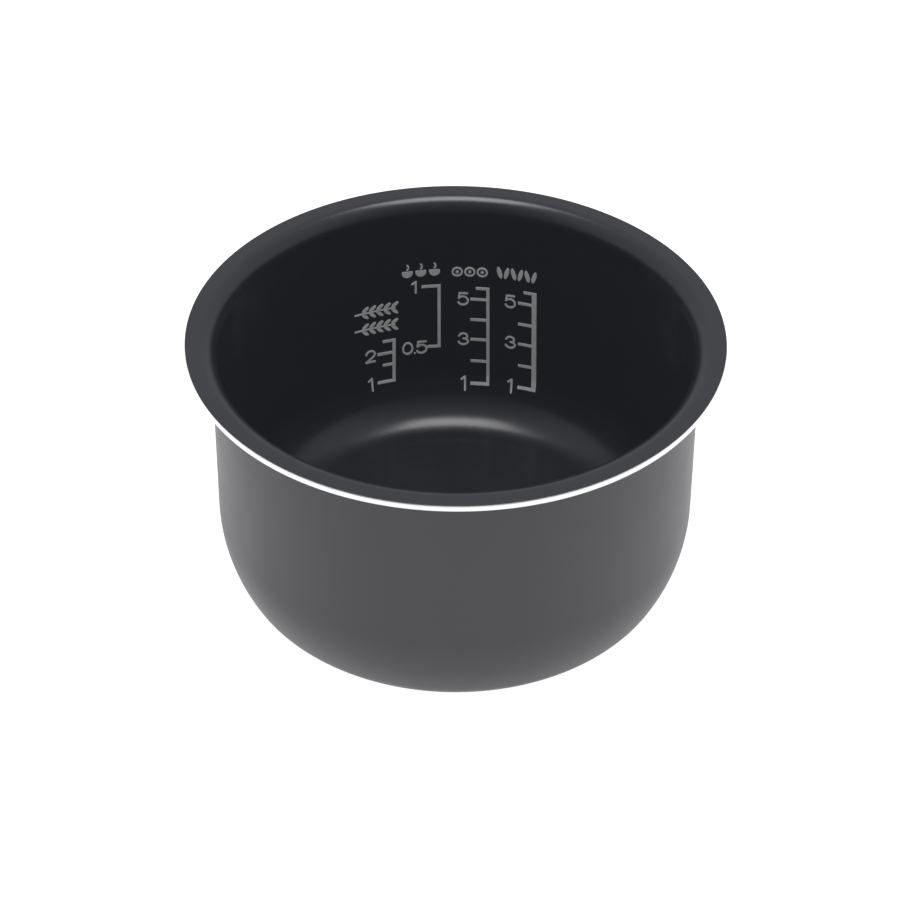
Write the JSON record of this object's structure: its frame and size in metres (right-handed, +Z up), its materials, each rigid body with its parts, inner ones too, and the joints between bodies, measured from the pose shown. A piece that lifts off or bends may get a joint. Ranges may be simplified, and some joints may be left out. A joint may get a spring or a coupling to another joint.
{
  "type": "rice cooker inner pot",
  "caption": "Round non-stick inner cooking pot for a rice cooker, open at the top, with a flat flange round its mouth and water-level scales printed inside.",
  "frame": {"origin": "centre of the flat underside, on the surface that the pot stands on", "axes": "+Z up along the pot's axis, out of its mouth; the printed scales are on the +Y side of the inner wall and read from the -Y side"},
  "size_m": [0.212, 0.212, 0.1152],
  "materials": {
    "bare_aluminium": "machined bare edge",
    "nonstick_coat": "satin black non-stick coat",
    "satin_coat": "satin dark grey heat-resistant coat",
    "print_ink": "light grey printed ink"
  },
  "bodies": {
    "root": {"pan_core": "bare_aluminium", "inner_coating": "nonstick_coat", "outer_coating": "satin_coat", "base_coating": "satin_coat", "white_rice_scale": "print_ink", "white_rice_numerals": "print_ink", "white_rice_symbol": "print_ink", "sushi_rice_scale": "print_ink", "sushi_rice_numerals": "print_ink", "sushi_rice_symbol": "print_ink", "porridge_scale": "print_ink", "porridge_numerals": "print_ink", "porridge_symbol": "print_ink", "oatmeal_scale": "print_ink", "oatmeal_numerals": "print_ink", "oatmeal_symbol": "print_ink"}
  },
  "joints": []
}
